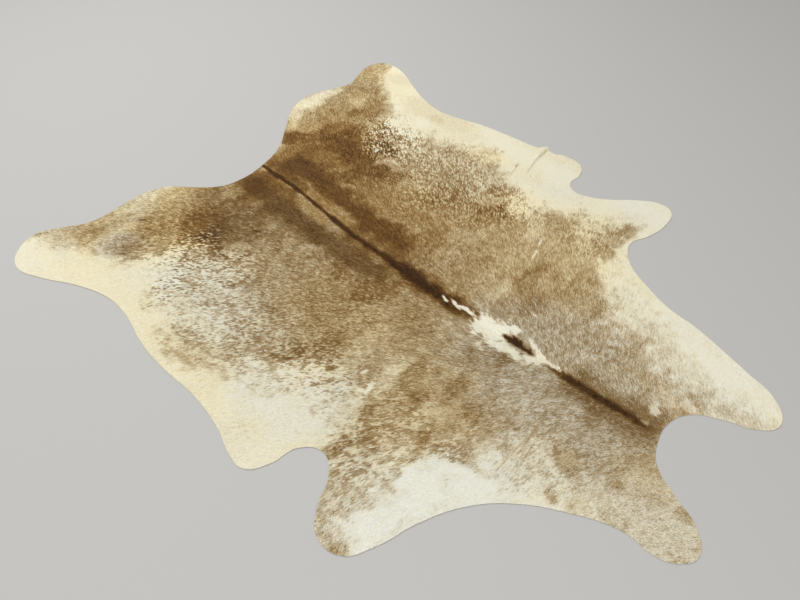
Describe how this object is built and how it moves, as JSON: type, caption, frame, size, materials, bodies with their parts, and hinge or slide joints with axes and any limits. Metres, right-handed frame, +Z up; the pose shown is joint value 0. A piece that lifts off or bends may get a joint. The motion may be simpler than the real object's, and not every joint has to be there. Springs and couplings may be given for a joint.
{
  "type": "cowhide rug",
  "caption": "Whole hair-on cattle hide laid flat as a floor rug: thin leather sheet in the natural outline of shanks, belly flaps, neck and rump, with a few soft creases.",
  "frame": {"origin": "on the floor, under the middle of the box around the hide's outline", "axes": "+Z up, out of the hair side; +Y along the backbone, from the neck to the tail end; +X across the hide"},
  "size_m": [1.921, 2.355, 0.0096],
  "materials": {
    "hide": "short satin hair, tan and brown roan with cream margins, on a pale suede underside"
  },
  "bodies": {
    "root": {"hide": "hide"}
  },
  "joints": []
}
